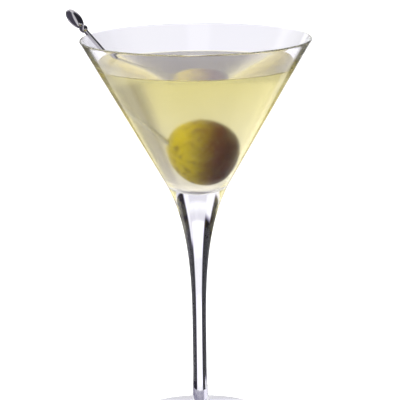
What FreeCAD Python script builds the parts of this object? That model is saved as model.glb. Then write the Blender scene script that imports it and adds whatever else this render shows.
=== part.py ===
import FreeCAD, Part
import math
import os

# Martini cocktail: a stemmed cone glass, its drink, a large olive and the metal pick that spears it.
# Millimetres and degrees. +Z is up, and the origin is the centre of the foot's flat underside.

# Glass: bowl
RIM_DIAMETER = 104.0
GLASS_HEIGHT = 180.0
RIM_WALL = 0.9
BOWL_DEPTH = 68.4             # inside, from the rim down to the lowest point
BOWL_FLOOR_RADIUS = 14.0      # the inside is rounded there
BOWL_FLOOR_WALL = 4.37        # how far inside the straight outer cone that round is
WALL_THICKENING = 4.2         # degrees that the inside turns in by, on its way down to the floor
WALL_BEND = 0.85              # 0 spreads that turn over the whole wall, 1 makes it at one height
CONE_FOOT_ABOVE_FLOOR = 3.2   # the outside is a straight cone down to here

# Glass: stem and foot
STEM_DIAMETER = 6.4
STRAIGHT_STEM = 10.6          # between the two flares
UPPER_FLARE_LOW_PULL = 23.8   # how far each end of the flare keeps its direction
UPPER_FLARE_HIGH_PULL = 22.4
LOWER_FLARE_TOP = 34.0        # height at which the stem starts to spread into the foot
LOWER_FLARE_PULL = 28.0
LOWER_FLARE_FOOT_PULL = 9.5
FOOT_DIAMETER = 68.0
FOOT_EDGE = 2.0               # thickness of the rounded edge
FOOT_SLOPE = 7.4
FOOT_CROWN_RADIUS = 13.0      # where the sloping top of the foot meets the flare

# Drink
FILL_BELOW_RIM = 12.2

# Olive, an egg of two half ellipsoids on one equator
OLIVE_WIDTH = 25.0
OLIVE_TOP_LENGTH = 15.0
OLIVE_TIP_LENGTH = 18.6
OLIVE_LEAN = 11.0             # of its long axis from upright
OLIVE_LEAN_HEADING = 127.0    # where its top leans to, from +X about +Z
OLIVE_X = 2.1
OLIVE_Y = -1.4
OLIVE_WALL_GAP = 0.97
SCAR_RADIUS = 1.7             # round dent left by the stalk
SCAR_DEPTH = 0.5

# Pick
PICK_DIAMETER = 2.1
PICK_POINT = 7.0
PICK_BLUNT = 0.5              # diameter of the flat at its point
PICK_HEADING = -21.0          # the way it runs inwards and down, from +X about +Z
PICK_LEFT_OF_OLIVE_CENTRE = 4.4
PICK_BEFORE_OLIVE_CENTRE = 3.1
PICK_BELOW_OLIVE_CENTRE = 5.0
PICK_POINT_COVER = 2.0        # olive left in front of the point
PICK_REST_GAP = 0.1
BALL_DIAMETER = 3.9
BALL_PAST_RIM = 3.3           # along the pick, from where it leans on the rim
HEAD_LENGTH = 10.6
HEAD_WIDTH = 5.7
HEAD_SINK = 1.2               # how deep the head and the ball run into each other

AXIS = FreeCAD.Vector(0, 0, 1)
CENTRE = FreeCAD.Vector(0, 0, 0)


def at(radius, height):
    """A point of an outline that is turned about the Z axis."""
    return FreeCAD.Vector(radius, 0, height)


def slanted(radius, height, length, angle):
    """The point at a length from a given one, in a direction measured up from +X."""
    turn = math.radians(angle)
    return at(radius + length * math.cos(turn), height + length * math.sin(turn))


def line(start, end):
    return Part.LineSegment(start, end).toShape()


def arc(start, middle, end):
    return Part.Arc(start, middle, end).toShape()


def bezier(poles):
    curve = Part.BezierCurve()
    curve.setPoles(poles)
    return curve


def turned(edges):
    """The solid that a closed outline makes when it turns about the Z axis."""
    return Part.Face(Part.Wire(edges)).revolve(CENTRE, AXIS, 360)


# ---- Places that several pieces share ----
lip_radius = RIM_WALL / 2
lip_ring = RIM_DIAMETER / 2 - lip_radius
lip_height = GLASS_HEIGHT - lip_radius
floor_height = GLASS_HEIGHT - BOWL_DEPTH
floor_centre = floor_height + BOWL_FLOOR_RADIUS
level = GLASS_HEIGHT - FILL_BELOW_RIM


def cone_half_angle():
    """From the axis, of the outside: a straight line that touches the lip and clears the floor."""
    reach = math.hypot(lip_ring, lip_height - floor_centre)
    rise = math.atan2(lip_height - floor_centre, lip_ring)
    widening = BOWL_FLOOR_RADIUS + BOWL_FLOOR_WALL - lip_radius
    return math.degrees(math.acos(widening / reach) - rise)


outer_half_angle = cone_half_angle()
foot_half_angle = outer_half_angle + WALL_THICKENING
wall_top = slanted(lip_ring, lip_height, -lip_radius, -outer_half_angle)
wall_foot = slanted(0, floor_centre, BOWL_FLOOR_RADIUS, -foot_half_angle)
floor_middle = slanted(0, floor_centre, BOWL_FLOOR_RADIUS, -(90 + foot_half_angle) / 2)
floor_lowest = at(0, floor_height)


def make_inner_wall():
    """The inside from the lip to the floor: parallel to the outside at first, then turning in."""
    down = math.radians(outer_half_angle)
    up = math.radians(foot_half_angle)
    across = wall_top.x - wall_foot.x
    rise = wall_top.z - wall_foot.z
    turn = math.sin(up - down)
    fall = WALL_BEND * (rise * math.sin(up) - across * math.cos(up)) / turn
    climb = WALL_BEND * (across * math.cos(down) - rise * math.sin(down)) / turn
    return bezier([
        wall_top,
        slanted(wall_top.x, wall_top.z, -fall, 90 - outer_half_angle),
        slanted(wall_foot.x, wall_foot.z, climb, 90 - foot_half_angle),
        wall_foot,
    ])


inner_wall = make_inner_wall()


def make_glass():
    cone_top = slanted(lip_ring, lip_height, lip_radius, -outer_half_angle)
    cone_foot_height = floor_height + CONE_FOOT_ABOVE_FLOOR
    narrowing = (cone_top.z - cone_foot_height) * math.tan(math.radians(outer_half_angle))
    cone_foot = at(cone_top.x - narrowing, cone_foot_height)
    stem = STEM_DIAMETER / 2
    stem_foot = at(stem, LOWER_FLARE_TOP)
    stem_top = at(stem, LOWER_FLARE_TOP + STRAIGHT_STEM)
    upper_flare = bezier([
        stem_top,
        at(stem, stem_top.z + UPPER_FLARE_LOW_PULL),
        slanted(cone_foot.x, cone_foot.z, -UPPER_FLARE_HIGH_PULL, 90 - outer_half_angle),
        cone_foot,
    ])

    edge = FOOT_EDGE / 2
    edge_ring = FOOT_DIAMETER / 2 - edge
    edge_top = slanted(edge_ring, edge, edge, 90 - FOOT_SLOPE)
    crown_rise = (edge_top.x - FOOT_CROWN_RADIUS) * math.tan(math.radians(FOOT_SLOPE))
    crown = at(FOOT_CROWN_RADIUS, edge_top.z + crown_rise)
    lower_flare = bezier([
        crown,
        slanted(crown.x, crown.z, -LOWER_FLARE_FOOT_PULL, -FOOT_SLOPE),
        at(stem, LOWER_FLARE_TOP - LOWER_FLARE_PULL),
        stem_foot,
    ])

    return turned([
        line(CENTRE, at(edge_ring, 0)),
        arc(at(edge_ring, 0), at(FOOT_DIAMETER / 2, edge), edge_top),
        line(edge_top, crown),
        lower_flare.toShape(),
        line(stem_foot, stem_top),
        upper_flare.toShape(),
        line(cone_foot, cone_top),
        arc(cone_top, at(lip_ring, GLASS_HEIGHT), wall_top),
        inner_wall.toShape(),
        arc(wall_foot, floor_middle, floor_lowest),
        line(floor_lowest, CENTRE),
    ])


# ---- Olive: its place is as low as the bowl lets it sit ----
lean = math.radians(OLIVE_LEAN)
lean_heading = math.radians(OLIVE_LEAN_HEADING)
olive_axis = FreeCAD.Vector(
    math.sin(lean) * math.cos(lean_heading),
    math.sin(lean) * math.sin(lean_heading),
    math.cos(lean),
)


def olive_reach(direction):
    """How far the olive reaches from its centre in a direction."""
    along = olive_axis.dot(direction)
    length = OLIVE_TOP_LENGTH if along > 0 else OLIVE_TIP_LENGTH
    return math.sqrt((length * along) ** 2 + (OLIVE_WIDTH / 2) ** 2 * (1 - along ** 2))


def wall_slopes():
    """Points down the inside of the bowl, each with the wall's angle from the axis there."""
    slopes = []
    for step in range(25):
        along = inner_wall.tangent(step / 24)[0]
        slopes.append((inner_wall.value(step / 24), math.atan2(abs(along.x), abs(along.z))))
    for step in range(25):
        angle = foot_half_angle + (90 - foot_half_angle) * step / 24
        slopes.append((slanted(0, floor_centre, BOWL_FLOOR_RADIUS, -angle), math.radians(angle)))
    return slopes


def olive_seat():
    """The lowest height of the olive's centre that clears the wall and the floor all round."""
    heights = []
    for point, angle in wall_slopes():
        down = math.sin(angle)
        out = math.cos(angle)
        for step in range(120):
            turn = math.radians(3 * step)
            side = FreeCAD.Vector(math.cos(turn), math.sin(turn), 0)
            needed = olive_reach(side * out - AXIS * down) + OLIVE_WALL_GAP
            aside = OLIVE_X * side.x + OLIVE_Y * side.y
            heights.append(point.z + (needed + (aside - point.x) * out) / down)
    return max(heights)


olive_centre = FreeCAD.Vector(OLIVE_X, OLIVE_Y, olive_seat())


def half_egg(length, width):
    """Half an ellipse, from its pole on the Z axis to its equator."""
    ellipse = Part.Ellipse(at(0, length), at(width / 2, 0), CENTRE)
    return Part.Arc(ellipse, 0, math.pi / 2).toShape()


def make_whole_olive():
    upper = half_egg(OLIVE_TOP_LENGTH, OLIVE_WIDTH)
    lower = half_egg(-OLIVE_TIP_LENGTH, OLIVE_WIDTH)
    egg = turned([upper, lower, line(at(0, -OLIVE_TIP_LENGTH), at(0, OLIVE_TOP_LENGTH))])
    scar_ball = (SCAR_RADIUS ** 2 + SCAR_DEPTH ** 2) / (2 * SCAR_DEPTH)
    scar = Part.makeSphere(scar_ball, at(0, OLIVE_TOP_LENGTH - SCAR_DEPTH + scar_ball))
    olive = egg.cut(scar)
    olive.Placement = FreeCAD.Placement(olive_centre, FreeCAD.Rotation(AXIS, olive_axis))
    return olive


# ---- Pick: a straight line through the olive, leaning on the rounded lip ----
heading = math.radians(PICK_HEADING)
inwards = FreeCAD.Vector(math.cos(heading), math.sin(heading), 0)
pick_pass = olive_centre - FreeCAD.Vector(
    PICK_LEFT_OF_OLIVE_CENTRE, PICK_BEFORE_OLIVE_CENTRE, PICK_BELOW_OLIVE_CENTRE
)


def pick_line():
    """The pick's downward direction, and how far up it from pick_pass it leans on the lip."""
    across = pick_pass.x * inwards.x + pick_pass.y * inwards.y
    off_axis = pick_pass.x ** 2 + pick_pass.y ** 2
    to_lip = across + math.sqrt(across ** 2 - off_axis + lip_ring ** 2)
    lip_rise = lip_height - pick_pass.z
    lip_distance = math.hypot(to_lip, lip_rise)
    clear = lip_radius + PICK_DIAMETER / 2 + PICK_REST_GAP
    steepness = math.atan2(lip_rise, to_lip) + math.asin(clear / lip_distance)
    direction = inwards * math.cos(steepness) - AXIS * math.sin(steepness)
    return direction, math.sqrt(lip_distance ** 2 - clear ** 2)


def olive_far_skin(direction):
    """How far past pick_pass the pick's line leaves the olive."""
    start = pick_pass - olive_centre
    start_along = start.dot(olive_axis) / OLIVE_TIP_LENGTH
    step_along = direction.dot(olive_axis) / OLIVE_TIP_LENGTH
    start_across = (start - olive_axis * start.dot(olive_axis)) * (2 / OLIVE_WIDTH)
    step_across = (direction - olive_axis * direction.dot(olive_axis)) * (2 / OLIVE_WIDTH)
    square = step_across.dot(step_across) + step_along ** 2
    half_linear = start_across.dot(step_across) + start_along * step_along
    constant = start_across.dot(start_across) + start_along ** 2 - 1
    return (math.sqrt(half_linear ** 2 - square * constant) - half_linear) / square


def make_pick():
    downwards, lean_distance = pick_line()
    point_distance = olive_far_skin(downwards) - PICK_POINT_COVER
    shaft = PICK_DIAMETER / 2
    ball_height = point_distance + lean_distance + BALL_PAST_RIM
    shaft_solid = turned([
        line(CENTRE, at(PICK_BLUNT / 2, 0)),
        line(at(PICK_BLUNT / 2, 0), at(shaft, PICK_POINT)),
        line(at(shaft, PICK_POINT), at(shaft, ball_height)),
        line(at(shaft, ball_height), at(0, ball_height)),
        line(at(0, ball_height), CENTRE),
    ])
    ball = Part.makeSphere(BALL_DIAMETER / 2, at(0, ball_height))
    head = turned([
        half_egg(HEAD_LENGTH / 2, HEAD_WIDTH),
        half_egg(-HEAD_LENGTH / 2, HEAD_WIDTH),
        line(at(0, -HEAD_LENGTH / 2), at(0, HEAD_LENGTH / 2)),
    ])
    head_height = ball_height + BALL_DIAMETER / 2 - HEAD_SINK + HEAD_LENGTH / 2
    head.translate(at(0, head_height))
    pick = shaft_solid.fuse([ball, head]).removeSplitter()
    point = pick_pass + downwards * point_distance
    pick.Placement = FreeCAD.Placement(point, FreeCAD.Rotation(AXIS, -downwards))
    return pick


def make_fill():
    """What the bowl holds up to the level, with nothing in it yet."""
    bowl_inside = turned([
        inner_wall.toShape(),
        arc(wall_foot, floor_middle, floor_lowest),
        line(floor_lowest, at(0, wall_top.z)),
        line(at(0, wall_top.z), wall_top),
    ])
    return bowl_inside.common(Part.makeCylinder(RIM_DIAMETER, level))


whole_olive = make_whole_olive()
pick = make_pick()
parts = {
    "glass": make_glass(),
    "drink": make_fill().cut([whole_olive, pick]),
    "olive": whole_olive.cut(pick),
    "pick": pick,
}

os.makedirs("parts", exist_ok=True)
for name, shape in parts.items():
    shape.exportStep(f"parts/{name}.step")
    solids = len(shape.Solids)
    print(f"{name}: solids {solids}, valid {shape.isValid()}, volume {shape.Volume / 1000:.2f} cm3")
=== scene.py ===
import math
import bpy
from mathutils import Matrix, Vector, noise


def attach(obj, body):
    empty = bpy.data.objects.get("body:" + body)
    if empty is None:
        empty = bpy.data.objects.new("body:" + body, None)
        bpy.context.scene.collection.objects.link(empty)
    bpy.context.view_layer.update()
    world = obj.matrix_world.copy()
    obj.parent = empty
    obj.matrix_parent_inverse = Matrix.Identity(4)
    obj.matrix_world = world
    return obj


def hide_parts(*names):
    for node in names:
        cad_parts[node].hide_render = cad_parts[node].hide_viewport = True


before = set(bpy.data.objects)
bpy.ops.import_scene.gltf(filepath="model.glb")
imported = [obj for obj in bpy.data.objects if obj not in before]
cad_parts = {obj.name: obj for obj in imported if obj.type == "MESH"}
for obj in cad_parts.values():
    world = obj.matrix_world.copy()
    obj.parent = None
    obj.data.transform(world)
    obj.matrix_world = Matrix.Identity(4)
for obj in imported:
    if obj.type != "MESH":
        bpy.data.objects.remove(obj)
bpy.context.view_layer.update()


# ======== Glass ========
# A stemmed cocktail glass in one piece of clear crystal glass: the bowl is blown, the stem is drawn
# from its foot, the foot disc is pressed on, and the rim is cut and melted round.

RIM_DIAMETER = 104.0
GLASS_HEIGHT = 180.0
RIM_WALL = 0.9
BOWL_DEPTH = 68.4
BOWL_FLOOR_RADIUS = 14.0
BOWL_FLOOR_WALL = 4.37
WALL_THICKENING = 4.2
WALL_BEND = 0.85
CONE_FOOT_ABOVE_FLOOR = 3.2
STEM_DIAMETER = 6.4
STRAIGHT_STEM = 10.6
UPPER_FLARE_LOW_PULL = 23.8
UPPER_FLARE_HIGH_PULL = 22.4
LOWER_FLARE_TOP = 34.0
LOWER_FLARE_PULL = 28.0
LOWER_FLARE_FOOT_PULL = 9.5
FOOT_DIAMETER = 68.0
FOOT_EDGE = 2.0
FOOT_SLOPE = 7.4
FOOT_CROWN_RADIUS = 13.0
STEPS_ROUND = 256
WELD_DISTANCE = 0.002         # an outline's end on the axis closes to one point
SHARP_BEND = 40.0             # degrees: a harder bend than this shows as an edge
DRAWN_WAVE = 71.43            # from crest to crest of the waves in the drawn glass
WAVE_HEIGHT = 0.2

MM = 0.001                    # sizes are in millimetres, and the model is in metres
scene = bpy.context.scene


def add_node(tree, kind, inputs=None, **settings):
    """A node with its settings, and its inputs set or linked, by name or number."""
    node = tree.nodes.new(kind)
    for setting, value in settings.items():
        setattr(node, setting, value)
    for key, value in (inputs or {}).items():
        if isinstance(value, bpy.types.NodeSocket):
            tree.links.new(value, node.inputs[key])
        else:
            node.inputs[key].default_value = value
    return node


def colour(code):
    """Linear RGBA from an sRGB hex value."""
    parts = [int(code[i:i + 2], 16) / 255 for i in (1, 3, 5)]
    linear = [p / 12.92 if p <= 0.04045 else ((p + 0.055) / 1.055) ** 2.4 for p in parts]
    return (*linear, 1.0)


def slanted(radius, height, length, degrees):
    """The point of an outline at a length from another, in a direction measured up from level."""
    turn = math.radians(degrees)
    return (radius + length * math.cos(turn), height + length * math.sin(turn))


def arc(centre, radius, start, end, steps):
    """Points of an outline round a centre, from one angle to another, both ends in."""
    return [
        slanted(*centre, radius, start + (end - start) * step / steps) for step in range(steps + 1)
    ]


def curve(poles, steps):
    """Points of a cubic Bezier curve, both ends in."""
    points = []
    for step in range(steps + 1):
        t = step / steps
        shares = ((1 - t) ** 3, 3 * t * (1 - t) ** 2, 3 * t ** 2 * (1 - t), t ** 3)
        points.append(tuple(sum(s * pole[k] for s, pole in zip(shares, poles)) for k in (0, 1)))
    return points


def turning_tree():
    """Geometry nodes that turn an outline, drawn in X and Z, a full circle about the Z axis."""
    tree = bpy.data.node_groups.new("Turn outline", "GeometryNodeTree")
    face = tree.interface
    face.new_socket("Outline", in_out="INPUT", socket_type="NodeSocketGeometry")
    face.new_socket("Steps round", in_out="INPUT", socket_type="NodeSocketInt")
    face.new_socket("Weld distance", in_out="INPUT", socket_type="NodeSocketFloat")
    face.new_socket("Finish", in_out="INPUT", socket_type="NodeSocketMaterial")
    face.new_socket("Turned", in_out="OUTPUT", socket_type="NodeSocketGeometry")
    given = add_node(tree, "NodeGroupInput").outputs
    rows = add_node(tree, "GeometryNodeAttributeDomainSize", {"Geometry": given["Outline"]})
    columns = add_node(
        tree, "FunctionNodeIntegerMath", {0: given["Steps round"], 1: 1}, operation="ADD"
    )
    grid = add_node(tree, "GeometryNodeMeshGrid", {
        "Vertices X": rows.outputs["Point Count"],
        "Vertices Y": columns.outputs[0],
    })
    index = add_node(tree, "GeometryNodeInputIndex").outputs[0]
    row = add_node(
        tree, "FunctionNodeIntegerMath", {0: index, 1: columns.outputs[0]}, operation="DIVIDE_FLOOR"
    )
    column = add_node(
        tree, "FunctionNodeIntegerMath", {0: index, 1: columns.outputs[0]}, operation="MODULO"
    )
    place = add_node(tree, "GeometryNodeInputPosition").outputs[0]
    point = add_node(tree, "GeometryNodeSampleIndex", data_type="FLOAT_VECTOR", domain="POINT")
    tree.links.new(given["Outline"], point.inputs["Geometry"])
    tree.links.new(place, point.inputs["Value"])
    tree.links.new(row.outputs[0], point.inputs["Index"])
    share = add_node(
        tree, "ShaderNodeMath", {0: column.outputs[0], 1: given["Steps round"]}, operation="DIVIDE"
    )
    angle = add_node(
        tree, "ShaderNodeMath", {0: share.outputs[0], 1: math.tau}, operation="MULTIPLY"
    )
    turned_point = add_node(
        tree, "ShaderNodeVectorRotate",
        {"Vector": point.outputs[0], "Angle": angle.outputs[0]}, rotation_type="Z_AXIS",
    )
    placed = add_node(tree, "GeometryNodeSetPosition", {
        "Geometry": grid.outputs["Mesh"], "Position": turned_point.outputs[0],
    })
    welded = add_node(tree, "GeometryNodeMergeByDistance", {
        "Geometry": placed.outputs[0], "Distance": given["Weld distance"],
    })
    outward = add_node(tree, "GeometryNodeFlipFaces", {"Mesh": welded.outputs[0]})
    smooth = add_node(tree, "GeometryNodeSetShadeSmooth", {"Geometry": outward.outputs[0]})
    real = add_node(tree, "GeometryNodeRealizeInstances", {"Geometry": smooth.outputs[0]})
    finished = add_node(tree, "GeometryNodeSetMaterial", {
        "Geometry": real.outputs[0], "Material": given["Finish"],
    })
    add_node(tree, "NodeGroupOutput", {"Turned": finished.outputs[0]})
    return tree


turn_outline = turning_tree()


def turned(name, outline, steps, finish, place=None):
    """A closed piece turned from an outline in millimetres, as a plain mesh in metres."""
    line = bpy.data.meshes.new(name + " outline")
    points = [(radius * MM, 0.0, height * MM) for radius, height in outline]
    line.from_pydata(points, [(i, i + 1) for i in range(len(points) - 1)], [])
    drawn = bpy.data.objects.new(name + " outline", line)
    scene.collection.objects.link(drawn)
    modifier = drawn.modifiers.new("Turn", "NODES")
    modifier.node_group = turn_outline
    sizes = {"Steps round": steps, "Weld distance": WELD_DISTANCE * MM, "Finish": finish}
    for item in turn_outline.interface.items_tree:
        if item.name in sizes:
            modifier[item.identifier] = sizes[item.name]
    bpy.context.view_layer.update()
    graph = bpy.context.evaluated_depsgraph_get()
    mesh = bpy.data.meshes.new_from_object(drawn.evaluated_get(graph))
    bpy.data.objects.remove(drawn)
    mesh.name = name
    mesh.set_sharp_from_angle(angle=math.radians(SHARP_BEND))
    if place is not None:
        mesh.transform(place)
    piece = bpy.data.objects.new(name, mesh)
    scene.collection.objects.link(piece)
    return piece


lip_radius = RIM_WALL / 2
lip = (RIM_DIAMETER / 2 - lip_radius, GLASS_HEIGHT - lip_radius)
floor_height = GLASS_HEIGHT - BOWL_DEPTH
floor_centre = (0.0, floor_height + BOWL_FLOOR_RADIUS)
across, up = lip[0], lip[1] - floor_centre[1]
widening = BOWL_FLOOR_RADIUS + BOWL_FLOOR_WALL - lip_radius
outer = math.degrees(math.acos(widening / math.hypot(across, up)) - math.atan2(up, across))
floor_flare = outer + WALL_THICKENING
cone_top = slanted(*lip, lip_radius, -outer)
cone_foot_height = floor_height + CONE_FOOT_ABOVE_FLOOR
narrowing = (cone_top[1] - cone_foot_height) * math.tan(math.radians(outer))
cone_foot = (cone_top[0] - narrowing, cone_foot_height)
stem = STEM_DIAMETER / 2
stem_top = LOWER_FLARE_TOP + STRAIGHT_STEM
edge = FOOT_EDGE / 2
edge_ring = (FOOT_DIAMETER / 2 - edge, edge)
edge_top = slanted(*edge_ring, edge, 90 - FOOT_SLOPE)
crown_rise = (edge_top[0] - FOOT_CROWN_RADIUS) * math.tan(math.radians(FOOT_SLOPE))
crown = (FOOT_CROWN_RADIUS, edge_top[1] + crown_rise)

foot_outline = [(0.0, 0.0)] + arc(edge_ring, edge, -90, 90 - FOOT_SLOPE, 12)
lower_flare = curve([
    crown,
    slanted(*crown, -LOWER_FLARE_FOOT_PULL, -FOOT_SLOPE),
    (stem, LOWER_FLARE_TOP - LOWER_FLARE_PULL),
    (stem, LOWER_FLARE_TOP),
], 36)
upper_flare = curve([
    (stem, stem_top),
    (stem, stem_top + UPPER_FLARE_LOW_PULL),
    slanted(*cone_foot, -UPPER_FLARE_HIGH_PULL, 90 - outer),
    cone_foot,
], 48)
rounded_lip = arc(lip, lip_radius, -outer, 180 - outer, 14)
rounded_floor = arc(floor_centre, BOWL_FLOOR_RADIUS, -floor_flare, -90, 28)


def inner_wall(into_wall, steps):
    """The inside from the lip down to the rounded floor, parallel to the outside at first."""
    top = slanted(*lip, -lip_radius + into_wall, -outer)
    foot = slanted(*floor_centre, BOWL_FLOOR_RADIUS + into_wall, -floor_flare)
    down, up = math.radians(outer), math.radians(floor_flare)
    across, rise = top[0] - foot[0], top[1] - foot[1]
    turn = math.sin(up - down)
    fall = (rise * math.sin(up) - across * math.cos(up)) / turn
    climb = (across * math.cos(down) - rise * math.sin(down)) / turn
    return curve([
        top,
        slanted(*top, -WALL_BEND * fall, 90 - outer),
        slanted(*foot, WALL_BEND * climb, 90 - floor_flare),
        foot,
    ], steps)


# Crystal glass, melted smooth: hardly any tint, sharp reflections, dark where it bends the view
# most, and the faint wide waves that drawing out the hot glass leaves.
crystal = bpy.data.materials.new("Clear crystal glass")
crystal.use_nodes = True
tree = crystal.node_tree
shader = tree.nodes["Principled BSDF"]
shader.inputs["Roughness"].default_value = 0.0
where = add_node(tree, "ShaderNodeTexCoord").outputs["Object"]
draw = add_node(tree, "ShaderNodeTexNoise", {
    "Vector": where, "Scale": 1 / (DRAWN_WAVE * MM), "Detail": 1.0,
}).outputs["Fac"]
tint = add_node(tree, "ShaderNodeMix", {
    "Factor": draw, 6: colour("#F5F4FF"), 7: colour("#FDFCFF"),
}, data_type="RGBA").outputs[2]
waves = add_node(tree, "ShaderNodeBump", {
    "Height": draw, "Strength": 0.1, "Distance": WAVE_HEIGHT * MM,
})
tree.links.new(tint, shader.inputs["Base Color"])
tree.links.new(waves.outputs[0], shader.inputs["Normal"])
shader.inputs["IOR"].default_value = 1.5
shader.inputs["Transmission Weight"].default_value = 1.0

glass = turned(
    "glass_body",
    foot_outline + lower_flare + upper_flare + rounded_lip + inner_wall(0.0, 48) + rounded_floor,
    STEPS_ROUND, crystal,
)
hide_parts("glass")
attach(glass, "root")


# ======== Drink ========
# A stirred gin and vermouth drink with olive brine in it: pale straw yellow, faintly cloudy.
# It fills the bowl, wets the wall and creeps a little way up it.

FILL_BELOW_RIM = 12.2
INTO_WALL = 0.15              # the drink reaches this far into the glass, so that no air gap shows
CREEP_HEIGHT = 0.4
CREEP_WIDTH = 0.9
BRINE_VEIL = 31.25            # the size of the faint veils of brine
SWALLOW_DENSITY = 17.0        # per metre of drink
FACES_UP = 0.5                # the height of a normal that belongs to the surface

level = GLASS_HEIGHT - FILL_BELOW_RIM
edge_height = level + CREEP_HEIGHT
wall = inner_wall(INTO_WALL, 96)[::-1]
wet = [point for point in wall if point[1] < edge_height]
above = wall[len(wet)]
share = (edge_height - wet[-1][1]) / (above[1] - wet[-1][1])
edge_radius = wet[-1][0] + share * (above[0] - wet[-1][0])
# The liquid's edge falls from the wall and runs out level.
creep = curve([
    (edge_radius, edge_height),
    (edge_radius - 0.35 * CREEP_WIDTH, level + 0.25 * CREEP_HEIGHT),
    (edge_radius - 0.6 * CREEP_WIDTH, level),
    (edge_radius - CREEP_WIDTH, level),
], 12)
wet_floor = arc(floor_centre, BOWL_FLOOR_RADIUS + INTO_WALL, -90, -floor_flare, 28)

# A clear liquid with a trace of brine: it swallows blue along the way and veils what is deep in it.
straw_liquid = bpy.data.materials.new("Gin and vermouth with brine")
straw_liquid.use_nodes = True
tree = straw_liquid.node_tree
shader = tree.nodes["Principled BSDF"]
where = add_node(tree, "ShaderNodeTexCoord").outputs["Object"]
brine = add_node(tree, "ShaderNodeTexNoise", {
    "Vector": where, "Scale": 1 / (BRINE_VEIL * MM), "Detail": 2.0,
})
haze = add_node(tree, "ShaderNodeMix", {
    "Factor": brine.outputs["Fac"], 6: colour("#FBF8E2"), 7: colour("#FFFEF6"),
}, data_type="RGBA").outputs[2]
tree.links.new(haze, shader.inputs["Base Color"])
shader.inputs["Roughness"].default_value = 0.2
shader.inputs["IOR"].default_value = 1.34
shader.inputs["Specular IOR Level"].default_value = 0.0
shader.inputs["Transmission Weight"].default_value = 0.985
swallow = add_node(tree, "ShaderNodeVolumeAbsorption", {
    "Color": colour("#F3ED88"), "Density": SWALLOW_DENSITY,
})
tree.links.new(swallow.outputs[0], tree.nodes["Material Output"].inputs["Volume"])

drink = turned("drink_body", wet_floor + wet + creep + [(0.0, level)], 192, straw_liquid)
straw_surface = straw_liquid.copy()
straw_surface.name = "Still surface of gin and vermouth"
shader = straw_surface.node_tree.nodes["Principled BSDF"]
shader.inputs["Roughness"].default_value = 0.02
shader.inputs["Specular IOR Level"].default_value = 0.5
shader.inputs["Transmission Weight"].default_value = 0.85
drink.data.materials.append(straw_surface)
for polygon in drink.data.polygons:
    if polygon.normal.z > FACES_UP:
        polygon.material_index = 1
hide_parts("drink")
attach(drink, "root")


# ======== Pick ========
# A cocktail pick turned from one rod of stainless steel and polished: a plain shaft ground to a
# point, a small ball and a long oval head above it.

PICK_DIAMETER = 2.1
PICK_POINT = 7.0
PICK_BLUNT = 0.5
PICK_HEADING = -21.0
PICK_STEEPNESS = 45.991
PICK_POINT_PLACE = (5.878, -7.639, 120.227)
PICK_LENGTH_TO_BALL = 87.326
BALL_DIAMETER = 3.9
HEAD_LENGTH = 10.6
HEAD_WIDTH = 5.7
HEAD_SINK = 1.2
BALL_END = 70.0               # degrees up the ball, hidden in the head
HEAD_START = -68.0            # degrees, hidden in the ball
BUFFING_MARK = 0.3704         # drawn many times coarser than the real ones, so that it shows

# Polished stainless steel: a mirror with faint buffing marks, nearly black where the room is dark.
polished_steel = bpy.data.materials.new("Polished stainless steel")
polished_steel.use_nodes = True
tree = polished_steel.node_tree
shader = tree.nodes["Principled BSDF"]
shader.inputs["Metallic"].default_value = 1.0
where = add_node(tree, "ShaderNodeTexCoord").outputs["Object"]
marks = add_node(tree, "ShaderNodeTexNoise", {
    "Vector": where, "Scale": 1 / (BUFFING_MARK * MM), "Detail": 5.0,
}).outputs["Fac"]
steel = add_node(tree, "ShaderNodeMix", {
    "Factor": marks, 6: colour("#CBC9CC"), 7: colour("#B3B1B6"),
}, data_type="RGBA").outputs[2]
shine = add_node(tree, "ShaderNodeMapRange", {
    "Value": marks, "From Min": 0.3, "From Max": 0.7, "To Min": 0.05, "To Max": 0.13,
}).outputs[0]
tree.links.new(steel, shader.inputs["Base Color"])
tree.links.new(shine, shader.inputs["Roughness"])

heading = math.radians(PICK_HEADING)
steepness = math.radians(PICK_STEEPNESS)
upwards = -Vector((
    math.cos(heading) * math.cos(steepness),
    math.sin(heading) * math.cos(steepness),
    -math.sin(steepness),
))
pick_place = Matrix.Translation(Vector(PICK_POINT_PLACE) * MM)
pick_place @= Vector((0, 0, 1)).rotation_difference(upwards).to_matrix().to_4x4()
shaft = PICK_DIAMETER / 2
pick_outline = [(0.0, 0.0), (PICK_BLUNT / 2, 0.0), (shaft, PICK_POINT)]
ball_radius = BALL_DIAMETER / 2
ball_foot = math.degrees(math.acos(shaft / ball_radius))
pick_outline += arc((0.0, PICK_LENGTH_TO_BALL), ball_radius, -ball_foot, BALL_END, 16)
head_centre = PICK_LENGTH_TO_BALL + ball_radius - HEAD_SINK + HEAD_LENGTH / 2
head_steps = 24
for step in range(head_steps + 1):
    turn = math.radians(HEAD_START + (90 - HEAD_START) * step / head_steps)
    pick_outline.append((
        max(0.0, HEAD_WIDTH / 2 * math.cos(turn)), head_centre + HEAD_LENGTH / 2 * math.sin(turn)
    ))
pick_outline[-1] = (0.0, head_centre + HEAD_LENGTH / 2)

pick = turned("pick_rod", pick_outline, 64, polished_steel, pick_place)
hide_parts("pick")
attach(pick, "root")


# ======== Olive ========
# A large green olive from brine, with no stuffing: a firm fruit with a thin waxy skin, speckled
# with pale pores, a round stalk scar at its top, and pulled in where the pick goes through.

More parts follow.
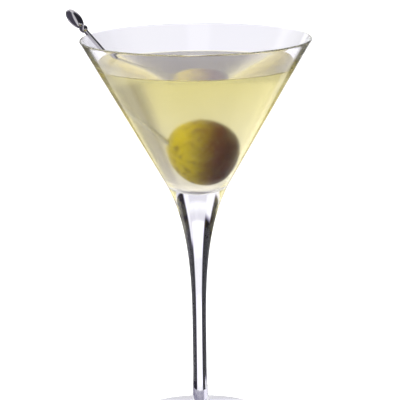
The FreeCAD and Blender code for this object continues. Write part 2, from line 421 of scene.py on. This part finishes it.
OLIVE_WIDTH = 25.0
OLIVE_TOP_LENGTH = 15.0
OLIVE_TIP_LENGTH = 18.6
OLIVE_LEAN = 11.0
OLIVE_LEAN_HEADING = 127.0
OLIVE_CENTRE = (2.1, -1.4, 134.3)
SCAR_RADIUS = 1.7
SCAR_DEPTH = 0.5
SLIT_DEPTH = 0.6              # the skin is pulled in round the pick
SLIT_SPREAD = 1.5
UNEVEN = ((8.0, 0.22), (2.6, 0.07))    # the width and height of the skin's swellings
PAINTED_SHADE_FROM = -3.0              # from left to right across the olive, where the painted shade begins
PAINTED_SHADE_TO = 13.0                # and where the painted shade makes the skin brown all over
PAINTED_SHADE_WANDER = 8.0             # how far the edge of the painted shade wanders
BLOTCH_SIZE = 6.25
BRUISE_SIZE = 3.03
PORE_SPACING = 1.389
PIT_DEPTH = 0.3

lean = math.radians(OLIVE_LEAN)
lean_heading = math.radians(OLIVE_LEAN_HEADING)
olive_axis = Vector((
    math.sin(lean) * math.cos(lean_heading),
    math.sin(lean) * math.sin(lean_heading),
    math.cos(lean),
))
olive_place = Matrix.Translation(Vector(OLIVE_CENTRE) * MM)
olive_place @= Vector((0, 0, 1)).rotation_difference(olive_axis).to_matrix().to_4x4()


def egg(half_width, tip_length, top_length, steps):
    """An outline of two half ellipses, from the tip below up to the top."""
    points = []
    for step in range(steps + 1):
        turn = math.pi * (step / steps - 0.5)
        length = top_length if turn > 0 else tip_length
        points.append((half_width * math.cos(turn), length * math.sin(turn)))
    points[0] = (0.0, -tip_length)
    points[-1] = (0.0, top_length)
    return points


# Brined olive skin: yellow-green, with painted shade that turns it brown on its right side, faintly
# blotched, with pale pores that are also small pits, and a soft waxy shine that is duller where the
# skin is wrinkled.
olive_skin = bpy.data.materials.new("Brined olive skin")
olive_skin.use_nodes = True
tree = olive_skin.node_tree
shader = tree.nodes["Principled BSDF"]
where = add_node(tree, "ShaderNodeTexCoord").outputs["Object"]
across = add_node(tree, "ShaderNodeSeparateXYZ", {0: where}).outputs["X"]
cloud = add_node(tree, "ShaderNodeTexNoise", {
    "Vector": where, "Scale": 1 / (BLOTCH_SIZE * MM), "Detail": 4.0,
})
# Painted shade: across the olive in X, the skin's colour turns from yellow-green to brown on its
# right side, with a wandering edge.
shifted = add_node(tree, "ShaderNodeMath", {
    0: cloud.outputs["Fac"], 1: PAINTED_SHADE_WANDER * MM, 2: across,
}, operation="MULTIPLY_ADD").outputs[0]
painted_shade = add_node(tree, "ShaderNodeMapRange", {
    "Value": shifted, "From Min": PAINTED_SHADE_FROM * MM, "From Max": PAINTED_SHADE_TO * MM,
}, interpolation_type="SMOOTHSTEP").outputs[0]
skin_with_painted_shade = add_node(tree, "ShaderNodeMix", {
    "Factor": painted_shade, 6: colour("#F4E01E"), 7: colour("#7C4200"),
}, data_type="RGBA").outputs[2]
bruise = add_node(tree, "ShaderNodeTexNoise", {
    "Vector": where, "Scale": 1 / (BRUISE_SIZE * MM), "Detail": 2.0,
})
bruised = add_node(tree, "ShaderNodeMapRange", {
    "Value": bruise.outputs["Fac"], "From Min": 0.52, "From Max": 0.72, "To Max": 0.55,
}).outputs[0]
blotched = add_node(tree, "ShaderNodeMix", {
    "Factor": bruised, 6: skin_with_painted_shade, 7: colour("#8A5A10"),
}, data_type="RGBA").outputs[2]
pore = add_node(tree, "ShaderNodeTexVoronoi", {
    "Vector": where, "Scale": 1 / (PORE_SPACING * MM), "Randomness": 1.0,
})
pored = add_node(tree, "ShaderNodeMapRange", {
    "Value": pore.outputs["Distance"], "From Min": 0.12, "From Max": 0.26,
    "To Min": 0.3, "To Max": 0.0,
}).outputs[0]
speckled = add_node(tree, "ShaderNodeMix", {
    "Factor": pored, 6: blotched, 7: colour("#F6EFA6"),
}, data_type="RGBA").outputs[2]
dull = add_node(tree, "ShaderNodeMapRange", {
    "Value": bruise.outputs["Fac"], "From Min": 0.3, "From Max": 0.7,
    "To Min": 0.26, "To Max": 0.44,
}).outputs[0]
height = add_node(
    tree, "ShaderNodeMath", {0: bruise.outputs["Fac"], 1: pored}, operation="SUBTRACT"
).outputs[0]
pits = add_node(tree, "ShaderNodeBump", {
    "Height": height, "Strength": 0.35, "Distance": PIT_DEPTH * MM,
})
tree.links.new(speckled, shader.inputs["Base Color"])
tree.links.new(dull, shader.inputs["Roughness"])
tree.links.new(pits.outputs[0], shader.inputs["Normal"])

olive = turned(
    "olive_fruit", egg(OLIVE_WIDTH / 2, OLIVE_TIP_LENGTH, OLIVE_TOP_LENGTH, 96), 144, olive_skin,
    olive_place,
)
stalk_scar = olive_place @ Vector((0, 0, OLIVE_TOP_LENGTH * MM))
for vertex in olive.data.vertices:
    place = vertex.co / MM
    uneven = sum(swell * noise.noise(place / width) for width, swell in UNEVEN)
    from_scar = (vertex.co - stalk_scar).length / MM
    scar = SCAR_DEPTH / (1 + (from_scar / SCAR_RADIUS) ** 6)
    from_point = place - Vector(PICK_POINT_PLACE)
    beside = from_point.cross(upwards).length
    slit = 0.0
    if from_point.dot(upwards) > PICK_POINT:
        slit = SLIT_DEPTH * math.exp(-((beside - PICK_DIAMETER / 2) / SLIT_SPREAD) ** 2)
    vertex.co += vertex.normal * (uneven - scar - slit) * MM
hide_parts("olive")
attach(olive, "root")


# ======== Studio ========
# A white table in a white room, with light and dark cards round the object. Which cards a ray sees
# depends on how many surfaces it has met, as no real studio's could: the stem and the filled bowl
# are each lit as if they stood alone between cards of their own.

CAMERA_PLACE = (0.0, -0.84752, 0.29594)
CAMERA_PITCH = -0.22049       # radians, below level
CAMERA_YAW = 0.00116          # radians, to the right of +Y
CAMERA_ROLL = -0.01276
CAMERA_LENS = 171.98          # mm, on a sensor as wide as the next value
CAMERA_SENSOR = 36.0

camera_data = bpy.data.cameras.new("Camera")
camera_data.lens = CAMERA_LENS
camera_data.sensor_width = CAMERA_SENSOR
camera_data.clip_start = 0.01
camera = bpy.data.objects.new("Camera", camera_data)
scene.collection.objects.link(camera)
camera.matrix_world = (
    Matrix.Translation(CAMERA_PLACE)
    @ Matrix.Rotation(-CAMERA_YAW, 4, "Z")
    @ Matrix.Rotation(math.pi / 2 + CAMERA_PITCH, 4, "X")
    @ Matrix.Rotation(CAMERA_ROLL, 4, "Z")
)
scene.camera = camera

world = bpy.data.worlds.new("White room with cards")
scene.world = world
world.use_nodes = True
tree = world.node_tree
tree.nodes.clear()
direction = add_node(tree, "ShaderNodeTexCoord").outputs["Generated"]
split = add_node(tree, "ShaderNodeSeparateXYZ", {0: direction})
azimuth = add_node(
    tree, "ShaderNodeMath", {0: split.outputs["X"], 1: split.outputs["Y"]}, operation="ARCTAN2"
).outputs[0]
elevation = add_node(
    tree, "ShaderNodeMath", {0: split.outputs["Z"]}, operation="ARCSINE"
).outputs[0]
rays = add_node(tree, "ShaderNodeLightPath").outputs


def when(kind, operation, limit):
    """1 where a count of the ray's surfaces is over or under a limit, 0 elsewhere."""
    return add_node(
        tree, "ShaderNodeMath", {0: rays[kind], 1: limit}, operation=operation
    ).outputs[0]


def card(room, glow, sides, heights, soft, only):
    """The room's brightness with a card in it, for all rays or only for some."""
    cover = only
    for angle, (low, high) in ((azimuth, sides), (elevation, heights)):
        for start, end in ((low - soft, low + soft), (high + soft, high - soft)):
            share = add_node(tree, "ShaderNodeMapRange", {
                "Value": angle,
                "From Min": math.radians(start),
                "From Max": math.radians(end),
            }, interpolation_type="SMOOTHSTEP").outputs[0]
            if cover is None:
                cover = share
            else:
                cover = add_node(
                    tree, "ShaderNodeMath", {0: cover, 1: share}, operation="MULTIPLY"
                ).outputs[0]
    return add_node(tree, "ShaderNodeMix", {0: cover, 2: room, 3: glow}).outputs[0]


SPLIT_DEPTH = 3.5             # below it the stem or one wall, above it both walls and the drink
TRAPPED_DEPTH = 9.5           # rays held in the glass for longer come out into light
TRAPPED_GLOW = 2.0
SEEN_GLOW = 1.05              # the room that the camera sees past the glass
DARK_TINT = (1.0, 0.92, 1.3, 1.0)

solid_glass = when("Ray Depth", "LESS_THAN", SPLIT_DEPTH)
filled_bowl = when("Ray Depth", "GREATER_THAN", SPLIT_DEPTH)
reflected = rays["Is Reflection Ray"]
lit = when("Diffuse Depth", "GREATER_THAN", 0.5)

# Each card's brightness, where the room's is 1, its azimuths from +Y towards +X and its elevations
# in degrees, half the width of its soft edge, and the rays that see it.
cards = (
    # The far wall, lighter on the left, with two dimmer patches in it.
    (1.2, (-70, 30), (4, 45), 3, None),
    (0.9, (-14, 14), (13, 45), 2, None),
    (0.88, (-18, 18), (2, 8), 3, None),
    (1.5, (-62, -28), (12, 34), 3, filled_bowl),
    # Two light strips straight behind the glass, at the table's height and lower.
    (1.5, (-14, 14), (-21, -14), 1, None),
    (1.3, (-14, 14), (-7, 3), 1, None),
    # Dark below the table.
    (0.1, (-200, 200), (-100, -57), 4, None),
    (0.22, (-24, 200), (-62, -38), 4, None),
    # Dark on the right, which the filled bowl turns over to its left side.
    (0.34, (17, 40), (9, 30), 4, filled_bowl),
    (0.08, (34, 78), (5, 34), 4, filled_bowl),
    (0.4, (78, 110), (0, 30), 4, filled_bowl),
    # Black on both sides, for the bands in the neck and the stem, and a light gap in it that keeps
    # the empty wall clear from above.
    (0.01, (18, 100), (-25, -3), 2, solid_glass),
    (0.01, (-65, -15), (-25, 6), 2, solid_glass),
    (0.02, (23, 80), (-6, 27), 2, solid_glass),
    (0.02, (-75, -31), (2, 25), 3, solid_glass),
    (1.0, (-55, -36), (-36, -20), 1, solid_glass),
    # Dark on both sides in whatever mirrors the room, the steel above all.
    (0.03, (45, 168), (-60, 75), 5, reflected),
    (0.1, (-160, -70), (-60, 75), 5, reflected),
    # The olive's shade, and the light on it from the front left. Neither shows in glass or steel.
    (0.04, (15, 170), (-40, 80), 8, lit),
    (6.8, (-165, -105), (5, 60), 8, lit),
)
room = 1.0
for values in cards:
    room = card(room, *values)
trapped = when("Ray Depth", "GREATER_THAN", TRAPPED_DEPTH)
room = add_node(tree, "ShaderNodeMix", {0: trapped, 2: room, 3: TRAPPED_GLOW}).outputs[0]
brightness = add_node(
    tree, "ShaderNodeMix", {0: rays["Is Camera Ray"], 2: room, 3: SEEN_GLOW}
).outputs[0]
tint = add_node(tree, "ShaderNodeMix", {
    "Factor": brightness, 6: DARK_TINT, 7: (1.0, 1.0, 1.0, 1.0),
}, data_type="RGBA").outputs[2]
background = add_node(tree, "ShaderNodeBackground", {"Color": tint, "Strength": brightness})
add_node(tree, "ShaderNodeOutputWorld", {"Surface": background.outputs[0]})

TABLE_REACH = 3.0             # metres from its middle to its edge
TABLE_DROP = 0.2              # under the foot
TABLE_GLOW = 0.45
PAINT_GRAIN = 16.67

# Matt white lacquer on board, lit from within a little so that it is as light as the room. The
# glass neither shows nor mirrors it: there it sees the cards below the table.
table_top = bpy.data.materials.new("White table top")
table_top.use_nodes = True
tree = table_top.node_tree
shader = tree.nodes["Principled BSDF"]
where = add_node(tree, "ShaderNodeTexCoord").outputs["Object"]
grain = add_node(tree, "ShaderNodeTexNoise", {
    "Vector": where, "Scale": 1 / (PAINT_GRAIN * MM), "Detail": 3.0,
})
paint = add_node(tree, "ShaderNodeMix", {
    "Factor": grain.outputs["Fac"], 6: colour("#F0F0F0"), 7: colour("#F4F4F4"),
}, data_type="RGBA").outputs[2]
tree.links.new(paint, shader.inputs["Base Color"])
shader.inputs["Roughness"].default_value = 0.6
shader.inputs["Emission Color"].default_value = (1, 1, 1, 1)
shader.inputs["Emission Strength"].default_value = TABLE_GLOW
table_mesh = bpy.data.meshes.new("table")
corners = [
    (x * TABLE_REACH, y * TABLE_REACH, -TABLE_DROP * MM)
    for x, y in ((-1, -1), (1, -1), (1, 1), (-1, 1))
]
table_mesh.from_pydata(corners, [], [(0, 1, 2, 3)])
table_mesh.materials.append(table_top)
table = bpy.data.objects.new("table", table_mesh)
scene.collection.objects.link(table)
table.visible_transmission = False
table.visible_glossy = False

scene.view_settings.view_transform = "Standard"
scene.view_settings.look = "None"
turns_in_glass = 40           # light is bent and mirrored many times before it leaves the glass
scene.cycles.max_bounces = turns_in_glass
scene.cycles.transmission_bounces = turns_in_glass
scene.cycles.glossy_bounces = turns_in_glass
scene.cycles.diffuse_bounces = 4
scene.cycles.sample_clamp_indirect = 6.0
scene.cycles.use_denoising = True
